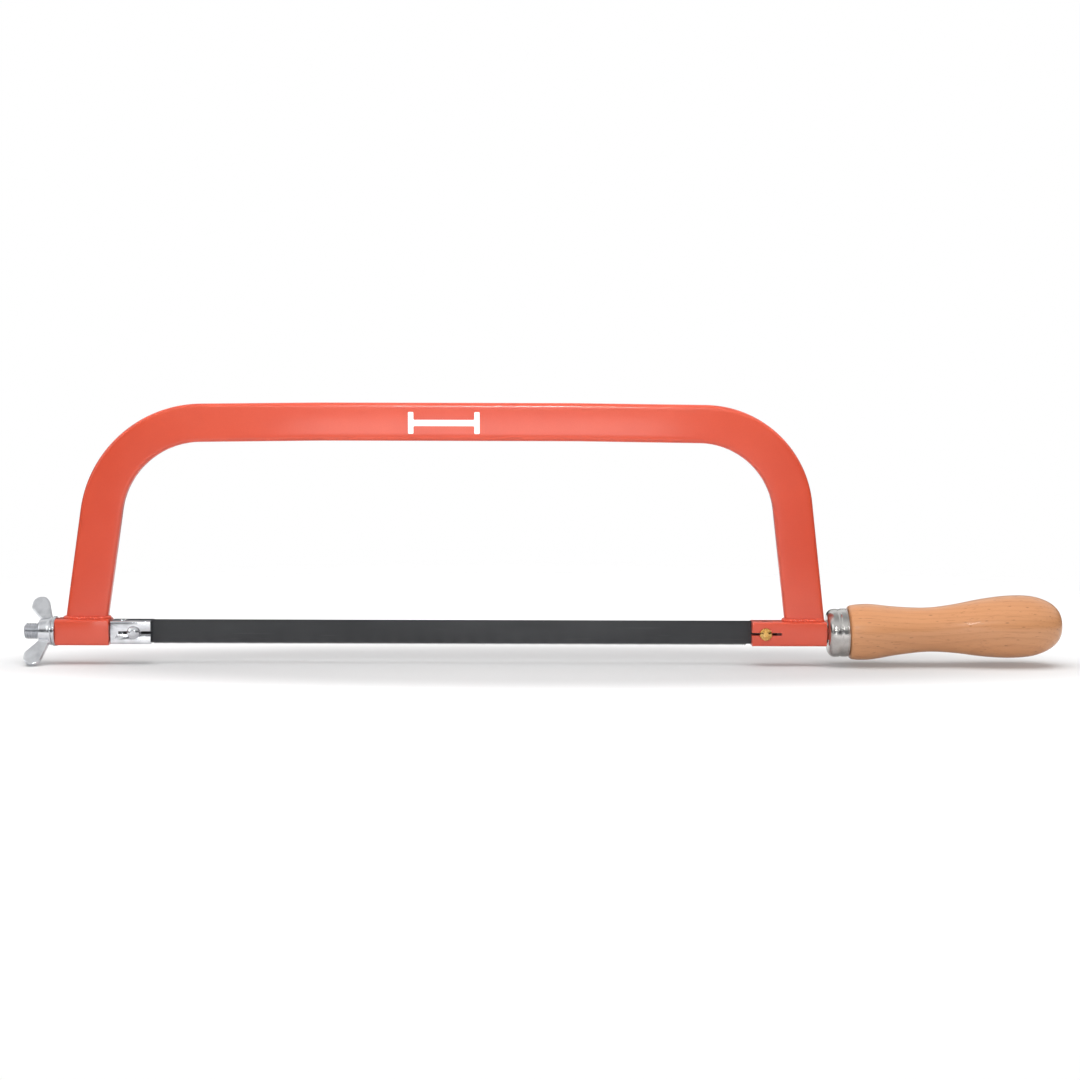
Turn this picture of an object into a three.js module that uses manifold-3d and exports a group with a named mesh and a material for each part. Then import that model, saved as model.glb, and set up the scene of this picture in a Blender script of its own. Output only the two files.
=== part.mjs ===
// A bow hacksaw with a fixed frame for 300 mm blades and a wooden file handle.
// Millimetres, +Z up. The saw stands upright with its blade along X, the tension nut at -X and
// the handle at +X. The origin is at the middle of its outer box, at the lowest point.
import * as THREE from 'three';
import { mergeVertices } from 'three/addons/utils/BufferGeometryUtils.js';
import Module from 'manifold-3d';

const wasm = await Module();
wasm.setup();

// Blade line
const AXIS_Z = 15.55; // height of the stud, the blade and both pins
const BLADE_CENTRE_X = -44.7;
const BLADE_HOLE_SPACING = 300;
const BLADE_HEIGHT = 11.8;
const BLADE_THICKNESS = 0.65;
const BLADE_END = 6.5; // from the hole's centre to the end
const BLADE_HOLE_RADIUS = 2.1;
const BLADE_CORNER = 3;
const TOOTH_PITCH = 25.4 / 24;
const TOOTH_DEPTH = 0.7;
const TOOTHED_LENGTH = 284;

// Pins: the taut blade pulls both of them towards its middle
const PIN_RADIUS = 1.5;
const PIN_HOLE_RADIUS = 1.6;
const PIN_PULL = 0.5; // from each blade hole's centre to its pin's centre
const PIN_HEAD_RADIUS = 3.1;
const PIN_HEAD_HEIGHT = 1.8;
const PIN_TIP = 1.6; // length that shows on the far side
const FRONT_PIN_X = BLADE_CENTRE_X - BLADE_HOLE_SPACING / 2 - PIN_PULL;
const REAR_PIN_X = BLADE_CENTRE_X + BLADE_HOLE_SPACING / 2 + PIN_PULL;

// Blade holders: square heads with two crossing slots, so that the blade can sit four ways
const SLOT_WIDTH = 1.3;
const HEAD_CHAMFER = 0.6;
const FRONT_HEAD = { size: 11.2, start: -206.2, end: -187.1, slot: 15.3 };
const REAR_HEAD = { size: 11.6, start: 99.4, end: 134.9, slot: 14 };
const SHANK_SIZE = 8;
const SHANK_START = -230.8;
const STUD_RADIUS = 4;
const STUD_START = -248;
const STUD_CHAMFER = 0.7;

// Guide sleeve, washer and wing nut at the front
const SLEEVE = { size: 12.4, bore: 8.3, start: -232.8, end: -207 };
const WASHER = { radius: 7.2, hole: 4.2, thickness: 1.6 };
const SEAT_GAP = 0.1;
const NUT_BORE = 4.12;
const NUT_BASE_RADIUS = 6.8;
const NUT_TOP_RADIUS = 5.8;
const NUT_HEIGHT = 6.5;
const WING_THICKNESS = 2.6;
const WING_EDGE = 0.7;
// One wing's outline as [distance from the seat along the stud, height from its axis, corner radius]
const WING_OUTLINE = [
  [-1, 4.5, 0], [-1, 6.2, 1.2], [-4.8, 19.08, 4], [-12, 19.08, 4],
  [-12, 12.4, 3], [-6, 5.6, 2], [-6, 4.5, 0],
];
const NUT_REST_TURN = THREE.MathUtils.degToRad(-38); // the lower wing points towards -Y

// Bow: one flat bar bent on edge
const BAR_THICKNESS = 6;
const BAR_EDGE = 1.6;
const BAR_TOP = 125.1;
const BAR_WIDTH = 18.1;
const CROWN_FALL = 1.2; // the top falls by this much from its flat middle to the bends
const CROWN_FLAT = 60; // half length of the flat middle
const CROWN_BLEND = 700;
const BOW_CENTRE_X = -45;
const FRONT_LEG = {
  foot: -208.2, width: 19.8, splay: 8.3, outerBend: 59, innerBend: 38, outerWeld: 1.4,
};
const REAR_LEG = {
  foot: 115.2, width: 18.9, splay: 6.5, outerBend: 52, innerBend: 36, outerWeld: 0.1,
};
const INNER_WELD = 1.6;
const WELD_RISE = 2.6;
const WELD_RADIUS = 3;
const FOOT_ALLOWANCE = 6; // extra length that is cut off flush with the sleeve and the holder
const FOOT_CUT = 30; // half length of that cut along X

// Handle and ferrule, on an axis that rises towards the end
const HANDLE_START_X = 135.6;
const HANDLE_TILT = THREE.MathUtils.degToRad(2.2);
const HANDLE_LENGTH = 112.5;
const FERRULE = { radius: 11.5, wall: 0.8, length: 9.8, hole: 4.8, shoulder: 3.2 };
const NOSE = { radius: 10.3, start: 4, end: 10.2 };
const HANDLE_BORE = { radius: 4.6, depth: 50 };
const TANG = { size: 6, length: 45 };
// Handle outline as [distance along the axis, radius]
const HANDLE_OUTLINE = [
  [10.2, 11.9], [11.5, 12.9], [16.3, 13.35], [22.3, 13.1], [33.3, 11.6], [47.3, 10.6],
  [60.3, 11.6], [74.3, 13.8], [87.3, 14.9], [98.3, 14.2], [106.3, 11.2], [110.9, 6.6],
  [HANDLE_LENGTH, 0],
];

const ROUND = 24; // sides of a round piece
const ARC_STEP = THREE.MathUtils.degToRad(8); // longest step of a rounded corner
const finish = (color, roughness, metalness) =>
  new THREE.MeshStandardMaterial({ color, roughness, metalness });
const RED_ENAMEL = finish(0xda5d47, 0.3, 0);
const ZINC = finish(0xc9cbce, 0.35, 0.9);
const BRASS = finish(0xc79a55, 0.35, 0.9);
const BLACK_STEEL = finish(0x3c3d3f, 0.5, 0.4);
const BEECH = finish(0xcd9467, 0.55, 0);

// A closed three.js geometry as a solid that can be joined and cut
function solid(geometry) {
  const bare = geometry.clone();
  bare.deleteAttribute('normal');
  bare.deleteAttribute('uv');
  const merged = mergeVertices(bare, 1e-4);
  const vertProperties = new Float32Array(merged.attributes.position.array);
  const triVerts = new Uint32Array(merged.index.array);
  return new wasm.Manifold(new wasm.Mesh({ numProp: 3, vertProperties, triVerts }));
}

// A solid as a named part of the saw
function part(name, body, material) {
  const { vertProperties, triVerts, numProp } = body.getMesh();
  const positions = [];
  for (let i = 0; i < vertProperties.length; i += numProp) {
    positions.push(vertProperties[i], vertProperties[i + 1], vertProperties[i + 2]);
  }
  const geometry = new THREE.BufferGeometry();
  geometry.setAttribute('position', new THREE.Float32BufferAttribute(positions, 3));
  geometry.setIndex(Array.from(triVerts));
  geometry.computeVertexNormals();
  const mesh = new THREE.Mesh(geometry, material);
  mesh.name = name;
  return mesh;
}

// An outline through [x, z, corner radius], with each corner rounded by an arc
function roundedOutline(corners, longestStep = ARC_STEP) {
  const points = corners.flatMap(([x, z, radius], i) => {
    const corner = new THREE.Vector2(x, z);
    const back = new THREE.Vector2(...corners.at(i - 1)).sub(corner).normalize();
    const ahead = new THREE.Vector2(...corners[(i + 1) % corners.length]).sub(corner).normalize();
    if (radius === 0) return [corner];
    const half = Math.acos(back.dot(ahead)) / 2;
    const inward = back.clone().add(ahead).normalize();
    const centre = corner.clone().addScaledVector(inward, radius / Math.sin(half));
    const spoke = corner.clone().addScaledVector(back, radius / Math.tan(half)).sub(centre);
    const turn = (Math.PI - 2 * half) * (back.cross(ahead) > 0 ? -1 : 1);
    const steps = Math.max(2, Math.ceil(Math.abs(turn) / longestStep));
    return Array.from({ length: steps + 1 }, (_, step) =>
      spoke.clone().rotateAround(new THREE.Vector2(), turn * step / steps).add(centre));
  });
  return new THREE.Shape(points);
}

// An outline drawn in X and Z, made thick along Y about the middle plane
function plate(shape, thickness, edge = 0, edgeSteps = 1) {
  const geometry = new THREE.ExtrudeGeometry(shape, {
    depth: thickness - 2 * edge,
    bevelEnabled: edge > 0,
    bevelThickness: edge,
    bevelSize: edge,
    bevelOffset: -edge,
    bevelSegments: edgeSteps,
    curveSegments: 8,
  });
  geometry.translate(0, 0, edge - thickness / 2);
  geometry.rotateX(Math.PI / 2);
  return geometry;
}

// A box from its lowest and highest corners
function block(low, high) {
  const size = high.map((value, i) => value - low[i]);
  const geometry = new THREE.BoxGeometry(...size);
  return geometry.translate(...low.map((value, i) => value + size[i] / 2));
}

// A square bar along X on the blade line, with chamfered long edges
function squareBar(size, start, end, chamfer) {
  const half = size / 2;
  const inner = half - chamfer;
  const section = new THREE.Shape([
    [inner, -half], [half, -inner], [half, inner], [inner, half],
    [-inner, half], [-half, inner], [-half, -inner], [-inner, -half],
  ].map(([y, z]) => new THREE.Vector2(y, z)));
  const geometry = new THREE.ExtrudeGeometry(section, { depth: end - start, bevelEnabled: false });
  return geometry.rotateY(Math.PI / 2).translate(start, 0, AXIS_Z);
}

// A round body along +X from a closed outline of [distance along the axis, radius]
function turned(outline, sides = ROUND) {
  const profile = outline.map(([along, radius]) => new THREE.Vector2(radius, along));
  return new THREE.LatheGeometry(profile, sides).rotateZ(-Math.PI / 2);
}

// A round bar between two points of one axis line
function roundBar(radius, from, to, sides) {
  const start = new THREE.Vector3(...from);
  const end = new THREE.Vector3(...to);
  const direction = end.clone().sub(start);
  const geometry = new THREE.CylinderGeometry(radius, radius, direction.length(), sides);
  const turn = new THREE.Quaternion().setFromUnitVectors(
    new THREE.Vector3(0, 1, 0), direction.normalize());
  geometry.applyQuaternion(turn);
  return geometry.translate(...start.add(end).multiplyScalar(0.5));
}

// The handle's own frame: its axis starts at the ferrule's front and rises by the tilt
function ontoHandleAxis(geometry) {
  return geometry.rotateY(-HANDLE_TILT).translate(HANDLE_START_X, 0, AXIS_Z);
}

// Two crossing slots from the head's mouth to their end, and a pin hole across each of them
function cutSlotsAndHoles(head, size, mouth, slotEnd, pinX) {
  const outside = mouth + Math.sign(mouth - slotEnd);
  const low = Math.min(slotEnd, outside);
  const high = Math.max(slotEnd, outside);
  const reach = size / 2 + 1;
  const gap = SLOT_WIDTH / 2;
  const upright = block([low, -gap, AXIS_Z - reach], [high, gap, AXIS_Z + reach]);
  const level = block([low, -reach, AXIS_Z - gap], [high, reach, AXIS_Z + gap]);
  const across = roundBar(PIN_HOLE_RADIUS, [pinX, -reach, AXIS_Z], [pinX, reach, AXIS_Z], 16);
  const down = roundBar(
    PIN_HOLE_RADIUS, [pinX, 0, AXIS_Z - reach], [pinX, 0, AXIS_Z + reach], 16);
  return [upright, level, across, down].reduce((body, tool) => body.subtract(solid(tool)), head);
}

// One leg's two edges, from the weld at its foot up to the corner with the top bar
function legCorners(leg, side, footZ) {
  const slope = Math.tan(THREE.MathUtils.degToRad(leg.splay));
  const across = leg.width / Math.cos(THREE.MathUtils.degToRad(leg.splay));
  const innerX = (z) => leg.foot - side * slope * (z - footZ);
  const outerX = (z) => innerX(z) + side * across;
  const topZ = BAR_TOP - CROWN_FALL;
  const underZ = topZ - BAR_WIDTH;
  const rise = footZ + WELD_RISE;
  return {
    outer: [
      [outerX(topZ), topZ, leg.outerBend],
      [outerX(rise), rise, WELD_RADIUS],
      [outerX(footZ) + side * leg.outerWeld, footZ, 0],
      [outerX(footZ) + side * leg.outerWeld, footZ - FOOT_ALLOWANCE, 0],
    ],
    inner: [
      [innerX(footZ) - side * INNER_WELD, footZ - FOOT_ALLOWANCE, 0],
      [innerX(footZ) - side * INNER_WELD, footZ, 0],
      [innerX(rise), rise, WELD_RADIUS],
      [innerX(underZ), underZ, leg.innerBend],
    ],
  };
}

function bowFrame() {
  const frontFoot = AXIS_Z + SLEEVE.size / 2;
  const rearFoot = AXIS_Z + REAR_HEAD.size / 2;
  const front = legCorners(FRONT_LEG, -1, frontFoot);
  const rear = legCorners(REAR_LEG, 1, rearFoot);
  const crown = (z) => [
    [BOW_CENTRE_X - CROWN_FLAT, z, CROWN_BLEND],
    [BOW_CENTRE_X + CROWN_FLAT, z, CROWN_BLEND],
  ];
  const shape = roundedOutline([
    ...crown(BAR_TOP), ...rear.outer, ...rear.inner,
    ...crown(BAR_TOP - BAR_WIDTH).reverse(), ...[...front.inner].reverse(),
    ...[...front.outer].reverse(),
  ]);
  const bar = solid(plate(shape, BAR_THICKNESS, BAR_EDGE, 3));
  const below = (x, z) => solid(block(
    [x - FOOT_CUT, -BAR_THICKNESS, 0], [x + FOOT_CUT, BAR_THICKNESS, z]));
  const trimmed = bar.subtract(below(FRONT_LEG.foot, frontFoot))
    .subtract(below(REAR_LEG.foot, rearFoot));
  return part('bow_frame', trimmed, RED_ENAMEL);
}

function guideSleeve() {
  const { size, bore, start, end } = SLEEVE;
  const tube = solid(squareBar(size, start, end, 0.5));
  const passage = solid(squareBar(bore, start - 1, end + 1, 0.01));
  return part('front_guide_sleeve', tube.subtract(passage), RED_ENAMEL);
}

function frontBladeHolder() {
  const { size, start, end, slot } = FRONT_HEAD;
  const head = solid(squareBar(size, start, end, HEAD_CHAMFER));
  const slotted = cutSlotsAndHoles(head, size, end, end - slot, FRONT_PIN_X);
  const shank = solid(squareBar(SHANK_SIZE, SHANK_START, start + 1, 0.5));
  const stud = turned([
    [0, 0], [0, STUD_RADIUS - STUD_CHAMFER], [STUD_CHAMFER, STUD_RADIUS],
    [SHANK_START + 1 - STUD_START, STUD_RADIUS], [SHANK_START + 1 - STUD_START, 0],
  ]).translate(STUD_START, 0, AXIS_Z);
  return part('front_blade_holder', slotted.add(shank).add(solid(stud)), ZINC);
}

function rearBladeHolder() {
  const { size, start, end, slot } = REAR_HEAD;
  const bar = solid(squareBar(size, start, end, HEAD_CHAMFER));
  const slotted = cutSlotsAndHoles(bar, size, start, start + slot, REAR_PIN_X);
  const half = TANG.size / 2;
  const tang = block([-3, -half, -half], [TANG.length, half, half]);
  return part('rear_blade_holder', slotted.add(solid(ontoHandleAxis(tang))), RED_ENAMEL);
}

// A pin along Y with a domed head towards -Y
function bladePin(name, x, headSize, material) {
  const face = -headSize / 2 - SEAT_GAP;
  const length = headSize + PIN_TIP + 2 * SEAT_GAP;
  const dome = PIN_HEAD_HEIGHT;
  const shape = turned([
    [-dome, 0], [-dome, PIN_HEAD_RADIUS * 0.45], [-dome * 0.75, PIN_HEAD_RADIUS * 0.8],
    [-dome * 0.35, PIN_HEAD_RADIUS], [0, PIN_HEAD_RADIUS], [0, PIN_RADIUS],
    [length - 0.4, PIN_RADIUS], [length, PIN_RADIUS - 0.4], [length, 0],
  ], 16);
  shape.rotateZ(Math.PI / 2).translate(x, face, AXIS_Z);
  return part(name, solid(shape), material);
}

function sawBlade() {
  const endX = BLADE_HOLE_SPACING / 2 + BLADE_END;
  const back = BLADE_HEIGHT / 2;
  const gullet = TOOTH_DEPTH - back;
  const shape = new THREE.Shape();
  shape.moveTo(-endX + BLADE_CORNER, gullet);
  const teeth = Math.floor(TOOTHED_LENGTH / TOOTH_PITCH);
  for (let i = 0; i < teeth; i += 1) {
    const x = -teeth * TOOTH_PITCH / 2 + i * TOOTH_PITCH;
    shape.lineTo(x, gullet);
    shape.lineTo(x, -back);
  }
  shape.lineTo(teeth * TOOTH_PITCH / 2, gullet);
  shape.lineTo(endX - BLADE_CORNER, gullet);
  shape.absarc(endX - BLADE_CORNER, gullet + BLADE_CORNER, BLADE_CORNER, -Math.PI / 2, 0, false);
  shape.absarc(endX - BLADE_CORNER, back - BLADE_CORNER, BLADE_CORNER, 0, Math.PI / 2, false);
  shape.absarc(BLADE_CORNER - endX, back - BLADE_CORNER, BLADE_CORNER, Math.PI / 2, Math.PI, false);
  shape.absarc(BLADE_CORNER - endX, gullet + BLADE_CORNER, BLADE_CORNER, Math.PI, Math.PI * 1.5, false);
  for (const side of [-1, 1]) {
    const hole = new THREE.Path();
    hole.absarc(side * BLADE_HOLE_SPACING / 2, 0, BLADE_HOLE_RADIUS, 0, Math.PI * 2, true);
    shape.holes.push(hole);
  }
  const body = plate(shape, BLADE_THICKNESS).translate(BLADE_CENTRE_X, 0, AXIS_Z);
  return part('saw_blade', solid(body), BLACK_STEEL);
}

function tensionWasher() {
  const { radius, hole, thickness } = WASHER;
  const ring = turned([
    [0, hole], [0, radius], [thickness, radius], [thickness, hole], [0, hole],
  ]).translate(SLEEVE.start - SEAT_GAP - thickness, 0, AXIS_Z);
  return part('tension_washer', solid(ring), ZINC);
}

// The nut in its own frame: seat at x = 0, wings in the XZ plane, reaching towards -X
function wingNut() {
  const hub = solid(turned([
    [-NUT_HEIGHT, 0], [-NUT_HEIGHT, NUT_TOP_RADIUS - 0.5], [0.5 - NUT_HEIGHT, NUT_TOP_RADIUS],
    [-1.8, NUT_BASE_RADIUS - 0.3], [-1.2, NUT_BASE_RADIUS], [0, NUT_BASE_RADIUS], [0, 0],
  ]));
  const outline = roundedOutline(WING_OUTLINE, 2 * ARC_STEP);
  const upper = plate(outline, WING_THICKNESS, WING_EDGE, 2);
  const lower = upper.clone().rotateX(Math.PI);
  const bore = solid(roundBar(NUT_BORE, [-NUT_HEIGHT - 1, 0, 0], [1, 0, 0], ROUND));
  const body = hub.add(solid(upper)).add(solid(lower)).subtract(bore);
  const nut = part('wing_nut', body, ZINC);
  nut.rotation.x = NUT_REST_TURN;
  nut.position.set(SLEEVE.start - WASHER.thickness - 2 * SEAT_GAP, 0, AXIS_Z);
  return nut;
}

function handleFerrule() {
  const { radius, wall, length, hole, shoulder } = FERRULE;
  const arc = [3, 2, 1].map((step) => {
    const angle = step * Math.PI / 8;
    return [shoulder * (1 - Math.sin(angle)), radius - shoulder * (1 - Math.cos(angle))];
  });
  const cup = turned([
    [0, hole], [0, radius - shoulder], ...arc, [shoulder, radius], [length, radius],
    [length, radius - wall], [shoulder, radius - wall], [wall, radius - shoulder], [wall, hole],
    [0, hole],
  ], 28);
  return part('handle_ferrule', solid(ontoHandleAxis(cup)), ZINC);
}

function woodenHandle() {
  const curve = new THREE.SplineCurve(HANDLE_OUTLINE.map(([s, r]) => new THREE.Vector2(s, r)));
  const skin = curve.getPoints(30).map(({ x, y }) => [x, Math.max(y, 0)]);
  skin[skin.length - 1][1] = 0;
  const wood = turned([
    [HANDLE_BORE.depth, 0], [HANDLE_BORE.depth, HANDLE_BORE.radius],
    [NOSE.start, HANDLE_BORE.radius], [NOSE.start, NOSE.radius], [NOSE.end, NOSE.radius],
    ...skin,
  ], 28);
  return part('wooden_handle', solid(ontoHandleAxis(wood)), BEECH);
}

const saw = new THREE.Group();
saw.add(
  bowFrame(),
  guideSleeve(),
  frontBladeHolder(),
  bladePin('front_blade_pin', FRONT_PIN_X, FRONT_HEAD.size, ZINC),
  tensionWasher(),
  wingNut(),
  sawBlade(),
  rearBladeHolder(),
  bladePin('rear_blade_pin', REAR_PIN_X, REAR_HEAD.size, BRASS),
  handleFerrule(),
  woodenHandle(),
);

export default saw;
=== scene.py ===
"""A bow hacksaw with a wooden handle: fine meshes, materials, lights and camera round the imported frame."""
import math

import bmesh
import bpy
from mathutils import Matrix, Quaternion, Vector


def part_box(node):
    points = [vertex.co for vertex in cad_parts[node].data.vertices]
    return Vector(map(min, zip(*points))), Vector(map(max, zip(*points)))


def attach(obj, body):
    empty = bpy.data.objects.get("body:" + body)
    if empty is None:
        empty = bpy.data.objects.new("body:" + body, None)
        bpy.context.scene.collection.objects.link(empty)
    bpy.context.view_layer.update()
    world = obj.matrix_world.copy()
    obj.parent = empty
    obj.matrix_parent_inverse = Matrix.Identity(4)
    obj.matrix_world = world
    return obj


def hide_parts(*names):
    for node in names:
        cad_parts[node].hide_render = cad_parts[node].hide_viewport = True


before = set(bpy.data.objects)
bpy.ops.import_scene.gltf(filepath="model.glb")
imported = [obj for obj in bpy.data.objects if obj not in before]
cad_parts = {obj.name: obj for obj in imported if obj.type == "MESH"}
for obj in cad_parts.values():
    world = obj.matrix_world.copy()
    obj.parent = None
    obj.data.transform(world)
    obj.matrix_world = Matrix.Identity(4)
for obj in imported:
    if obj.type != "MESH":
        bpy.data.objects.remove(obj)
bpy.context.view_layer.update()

MM = 0.001


# ---------------------------------------------------------------- sizes, in millimetres

def box_mm(node):
    """A CAD node's lowest and highest corners in millimetres."""
    low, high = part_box(node)
    return low / MM, high / MM


BLADE_LOW, BLADE_HIGH = box_mm("saw_blade")
FRONT_HEAD_LOW, FRONT_HEAD_HIGH = box_mm("front_blade_holder")
REAR_HEAD_LOW, REAR_HEAD_HIGH = box_mm("rear_blade_holder")
SLEEVE_LOW, SLEEVE_HIGH = box_mm("front_guide_sleeve")
WASHER_LOW, WASHER_HIGH = box_mm("tension_washer")
BOW_LOW, BOW_HIGH = box_mm("bow_frame")
FRONT_PIN_LOW, FRONT_PIN_HIGH = box_mm("front_blade_pin")
REAR_PIN_LOW, REAR_PIN_HIGH = box_mm("rear_blade_pin")
NUT_HIGH = box_mm("wing_nut")[1]

AXIS_Z = (SLEEVE_LOW.z + SLEEVE_HIGH.z) / 2
FRONT_PIN_X = (FRONT_PIN_LOW.x + FRONT_PIN_HIGH.x) / 2
REAR_PIN_X = (REAR_PIN_LOW.x + REAR_PIN_HIGH.x) / 2
BLADE_X = (BLADE_LOW.x + BLADE_HIGH.x) / 2

BAR_TOP = BOW_HIGH.z
BAR_WIDTH = 18.1
BAR_EDGE = 1.9
BAR_CROWN = 0.16  # the broad faces fall by this much towards their edges
BROAD_STRIPS = 8
CROWN_FALL = 1.2  # the top falls by this much from its flat middle to the bends
CROWN_FLAT = 60  # half length of the flat middle, before its ends are blended
CROWN_BLEND = 700
BOW_CENTRE_X = -45
FRONT_LEG = {"foot": -208.2, "width": 19.8, "splay": 8.3, "outer_bend": 59, "inner_bend": 38}
REAR_LEG = {"foot": 115.2, "width": 18.9, "splay": 6.5, "outer_bend": 52, "inner_bend": 36}

FRONT_WELD = (-228.3, -208.0)
REAR_WELD = (115.0, 133.2)
WELD_HALF_WIDTH = 3.2
WELD_CORNER = 2.4
WELD_RADIUS = 1.15
WELD_LIFT = 0.25
WELD_STEP = 0.28
WELD_PASS = 1.5  # from one ripple to the next
SLEEVE_BORE = 8.3

HEAD_START = -206.2
HEAD_CORNER = 1.0
HEAD_EDGE = 0.22
SLOT = 1.3
FRONT_SLOT = 15.3
REAR_SLOT = 14
PIN_RADIUS = 1.5
PIN_HOLE = 1.62
PIN_HEAD = 3.1
PIN_DOME = 1.8
SHANK = 8
SHANK_START = -230.8
THREAD_PITCH = 1.25
THREAD_DEPTH = 0.77
THREAD_CREST = 3.98
THREAD_CHAMFER = 0.85
WASHER_HOLE = 4.2
REAR_BAR_END = 134.9

BLADE_THICKNESS = 0.65
BLADE_CORNER = 3
TOOTH_PITCH = 25.4 / 24
TOOTH_DEPTH = 0.7
TOOTH_RAKE = 0.1
TOOTHED_LENGTH = 284
SET_WIDTH = 0.2
SET_HEIGHT = 2.4
SET_TEETH = 8
BLADE_HOLE = 2.1
BLADE_HOLE_SPACING = 300

HANDLE_START_X = 135.6
HANDLE_TILT = math.radians(2.2)
HANDLE_LENGTH = 112.5
FERRULE_RADIUS = 11.5
FERRULE_LENGTH = 9.8
FERRULE_WALL = 0.8
FERRULE_HOLE = 4.8
FERRULE_SHOULDER = 3.4
TANG_LENGTH = 45
TANG_SIZE = 6
TANG_ROOT = -3  # on the handle's own axis, so that the tang starts inside the bar
HANDLE_BORE = 4.6
HANDLE_BORE_DEPTH = 50
NOSE_RADIUS = 10.3  # the nose is the part inside the ferrule, up to the handle's shoulder
NOSE_START = 4
NOSE_END = 10.2
HANDLE_OUTLINE = [  # (along, radius) from the shoulder to the round end
    (NOSE_END, 11.9), (11.5, 12.9), (16.3, 13.35), (22.3, 13.1), (33.3, 11.6), (47.3, 10.6),
    (60.3, 11.6), (74.3, 13.8), (87.3, 14.9), (98.3, 14.2), (106.3, 11.2), (110.9, 6.6),
    (HANDLE_LENGTH, 0),
]

NUT_TURN = math.radians(-38)
NUT_BORE = 4.12
HUB_HEIGHT = 6.5
HUB_BASE_RADIUS = 6.8
WING_TIP = 18.9
WING_THICKNESS = 2.6
CAST_VOXEL = 0.22
CAST_SMOOTHING = 22

MARK_X = -47.5
MARK_DROP = 0.5  # below the middle of the bar
MARK_HALF_WIDTH = 17.0
MARK_TICK_HALF = 5.2  # half heights of the ticks and of the line between them
MARK_LINE_HALF = 1.5
MARK_TICK_WIDTH = 2.6
MARK_CORNER = 0.5

FLOOR_HALF = 4000
FLOOR_FADE = (0.30, 0.62)  # metres from the middle: the floor fades into the white backdrop
# painted shadow: a soft grey pool in the floor's colour below the saw
PAINTED_SHADOW_REACH = (0.36, 0.11)  # metres from the middle to the painted shadow's edge along X and Y
PAINTED_SHADOW_GREY = (184, 184, 184)


# ---------------------------------------------------------------- mesh helpers

def piece(name, vertices, faces, material, place=Matrix.Identity(4), sharp=35):
    """A mesh object from vertices in millimetres."""
    mesh = bpy.data.meshes.new(name)
    mesh.from_pydata([(place @ Vector(v)) * MM for v in vertices], [], faces)
    mesh.validate()
    obj = bpy.data.objects.new(name, mesh)
    bpy.context.scene.collection.objects.link(obj)
    if material:
        mesh.materials.append(material)
    tidy(obj, sharp)
    return obj


def tidy(obj, sharp=35):
    """Normals point out, and edges sharper than the angle stay crisp."""
    mesh = obj.data
    work = bmesh.new()
    work.from_mesh(mesh)
    bmesh.ops.remove_doubles(work, verts=work.verts, dist=1e-7)
    bmesh.ops.recalc_face_normals(work, faces=work.faces)
    work.to_mesh(mesh)
    work.free()
    mesh.shade_smooth()
    mesh.set_sharp_from_angle(angle=math.radians(sharp))


def apply_modifiers(obj):
    graph = bpy.context.evaluated_depsgraph_get()
    done = bpy.data.meshes.new_from_object(obj.evaluated_get(graph))
    obj.modifiers.clear()
    old, obj.data = obj.data, done
    bpy.data.meshes.remove(old)


def combine(obj, tools, operation):
    """Joins the tools to obj or cuts them from it, and removes them."""
    for tool in tools:
        step = obj.modifiers.new(operation, "BOOLEAN")
        step.operation = operation
        step.solver = "EXACT"
        step.object = tool
        apply_modifiers(obj)
        bpy.data.objects.remove(tool)
    return obj


def soften(obj, width):
    """Small rounded edges wherever faces meet at more than 30 degrees."""
    step = obj.modifiers.new("edges", "BEVEL")
    step.width = width * MM
    step.segments = 2
    step.limit_method = "ANGLE"
    step.angle_limit = math.radians(30)
    step.harden_normals = False
    apply_modifiers(obj)
    obj.data.shade_smooth()
    obj.data.set_sharp_from_angle(angle=math.radians(50))
    return obj


def rings(name, sections, material, closed=False, sharp=35, place=Matrix.Identity(4)):
    """A skin over a row of equal rings, closed on itself or capped at both ends."""
    count = len(sections[0])
    vertices = [v for section in sections for v in section]
    rows = len(sections)
    faces = []
    for row in range(rows if closed else rows - 1):
        here, after = row * count, (row + 1) % rows * count
        for i in range(count):
            j = (i + 1) % count
            faces.append((here + i, here + j, after + j, after + i))
    if not closed:
        faces.append(tuple(range(count)))
        faces.append(tuple(range((rows - 1) * count, rows * count)))
    return piece(name, vertices, faces, material, place, sharp)


def turned(name, outline, material, place, sides=96, sharp=35):
    """A body of revolution along its own X from (along, radius) points that start and end on the axis."""
    vertices, faces, rows = [], [], []
    for along, radius in outline:
        if radius < 1e-6:
            rows.append([len(vertices)])
            vertices.append((along, 0, 0))
            continue
        rows.append(list(range(len(vertices), len(vertices) + sides)))
        for i in range(sides):
            angle = 2 * math.pi * i / sides
            vertices.append((along, radius * math.cos(angle), radius * math.sin(angle)))
    for here, after in zip(rows, rows[1:]):
        for i in range(sides):
            j = (i + 1) % sides
            corners = [here[i % len(here)], here[j % len(here)]]
            corners += [after[j % len(after)], after[i % len(after)]]
            face = list(dict.fromkeys(corners))
            if len(face) > 2:
                faces.append(face)
    return piece(name, vertices, faces, material, place, sharp)


def ring_of(name, outline, material, place, sides=96, sharp=35):
    """A body of revolution from an outline that closes on itself clear of the axis."""
    sections = []
    for i in range(sides):
        angle = 2 * math.pi * i / sides
        sections.append([(a, r * math.cos(angle), r * math.sin(angle)) for a, r in outline])
    return rings(name, sections, material, closed=True, sharp=sharp, place=place)


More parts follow.
